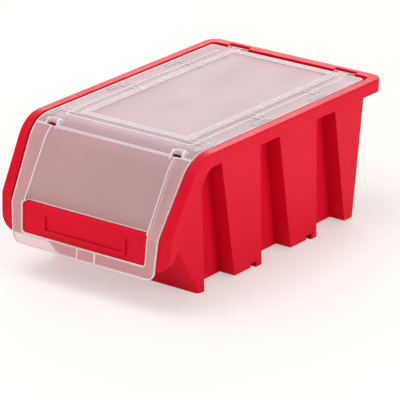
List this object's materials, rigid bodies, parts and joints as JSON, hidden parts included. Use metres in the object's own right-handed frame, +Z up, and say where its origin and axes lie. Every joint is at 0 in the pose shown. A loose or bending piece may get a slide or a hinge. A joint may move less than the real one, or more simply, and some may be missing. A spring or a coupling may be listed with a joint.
{
  "type": "hanging parts bin",
  "caption": "Open-fronted storage bin with fluted sides and a rear hanging lip, closed by a clear hinged lid and a clear hinged front flap.",
  "frame": {"origin": "centre of the base, under the middle of the overall length and width, at the plane of the foot tabs", "axes": "+Z up, -Y towards the flap at the front, +X towards the bin's right-hand side as its lid hinge is at the rear"},
  "size_m": [0.2498, 0.3984, 0.1692],
  "materials": {
    "red_plastic": "semi-gloss moulded polypropylene, through-coloured red",
    "clear_lid_plastic": "translucent moulded polypropylene, glossy edges and a faintly frosted middle panel",
    "clear_flap_plastic": "translucent moulded polypropylene, glossy edges"
  },
  "bodies": {
    "bin": {"bin_body": "red_plastic"},
    "lid": {"top_lid": "clear_lid_plastic"},
    "flap": {"front_flap": "clear_flap_plastic"}
  },
  "joints": [
    {"name": "lid_hinge", "type": "hinge", "parent": "bin", "child": "lid", "pos_m": [0, 0.18774, 0.1656], "axis": [-1, 0, 0], "range_deg": [0, 120]},
    {"name": "flap_hinge", "type": "hinge", "parent": "lid", "child": "flap", "pos_m": [0, -0.13476, 0.1655], "axis": [-1, 0, 0], "range_deg": [0, 160]}
  ]
}
